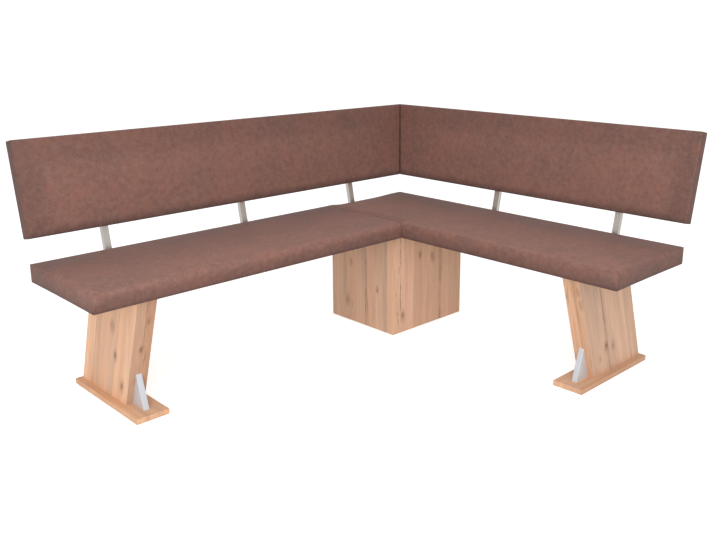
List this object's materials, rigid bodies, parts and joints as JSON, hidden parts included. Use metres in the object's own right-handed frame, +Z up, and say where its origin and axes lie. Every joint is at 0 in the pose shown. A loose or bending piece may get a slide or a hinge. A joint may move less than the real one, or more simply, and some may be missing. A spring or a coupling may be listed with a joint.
{
  "type": "corner bench",
  "caption": "L-shaped upholstered corner bench with reclined backrests on steel posts, leaning box legs on foot plates and a box pedestal in the corner.",
  "frame": {"origin": "middle of the footprint's box, on the floor", "axes": "+Z up; the long side runs along X and the short side along Y, with the room corner at +X +Y; a person sitting on the long side faces -Y"},
  "size_m": [1.874, 1.534, 0.8943],
  "materials": {
    "faux_leather": "mottled brown vintage faux leather, matt",
    "oak_finish": "knotty oak effect, matt, grain upright on legs and box and lengthwise on the foot plates",
    "raw_board": "bare particle board",
    "plain_beech": "planed beech",
    "satin_steel": "satin stainless steel",
    "gusset_metal": "satin aluminium",
    "zinc_steel": "zinc plated",
    "black_plastic": "black, matt"
  },
  "bodies": {
    "root": {"back_corner_bracket": "zinc_steel", "back_corner_screws": "zinc_steel", "corner_box_cheek": "oak_finish", "corner_box_cheek_cleat": "plain_beech", "corner_box_dowels": "plain_beech", "corner_box_front_board": "oak_finish", "corner_box_front_cleat": "plain_beech", "corner_box_glides": "black_plastic", "corner_box_rear_board": "oak_finish", "corner_box_screws": "zinc_steel", "corner_box_side_board": "oak_finish", "foot_plate_screws": "zinc_steel", "gusset_screws": "zinc_steel", "leg_head_screws": "zinc_steel", "leg_plate_screws": "zinc_steel", "long_back_board": "raw_board", "long_back_pad": "faux_leather", "long_back_post_1": "satin_steel", "long_back_post_2": "satin_steel", "long_back_post_3": "satin_steel", "long_back_rear_panel": "faux_leather", "long_foot_glides": "black_plastic", "long_foot_plate": "oak_finish", "long_leg_back_board": "oak_finish", "long_leg_foot_block": "raw_board", "long_leg_front_board": "oak_finish", "long_leg_gusset": "gusset_metal", "long_leg_head_block": "raw_board", "long_leg_head_plate": "zinc_steel", "long_leg_inner_cheek": "oak_finish", "long_leg_outer_cheek": "oak_finish", "long_seat_board": "raw_board", "long_seat_pad": "faux_leather", "long_seat_rail": "plain_beech", "post_back_screws": "zinc_steel", "post_caps": "black_plastic", "post_seat_screws": "zinc_steel", "seat_angle_screws": "zinc_steel", "seat_angles": "zinc_steel", "seat_rail_screws": "zinc_steel", "short_back_board": "raw_board", "short_back_pad": "faux_leather", "short_back_post_1": "satin_steel", "short_back_post_2": "satin_steel", "short_back_rear_panel": "faux_leather", "short_foot_glides": "black_plastic", "short_foot_plate": "oak_finish", "short_leg_back_board": "oak_finish", "short_leg_foot_block": "raw_board", "short_leg_front_board": "oak_finish", "short_leg_gusset": "gusset_metal", "short_leg_head_block": "raw_board", "short_leg_head_plate": "zinc_steel", "short_leg_inner_cheek": "oak_finish", "short_leg_outer_cheek": "oak_finish", "short_seat_board": "raw_board", "short_seat_pad": "faux_leather", "short_seat_rail": "plain_beech"}
  },
  "joints": []
}
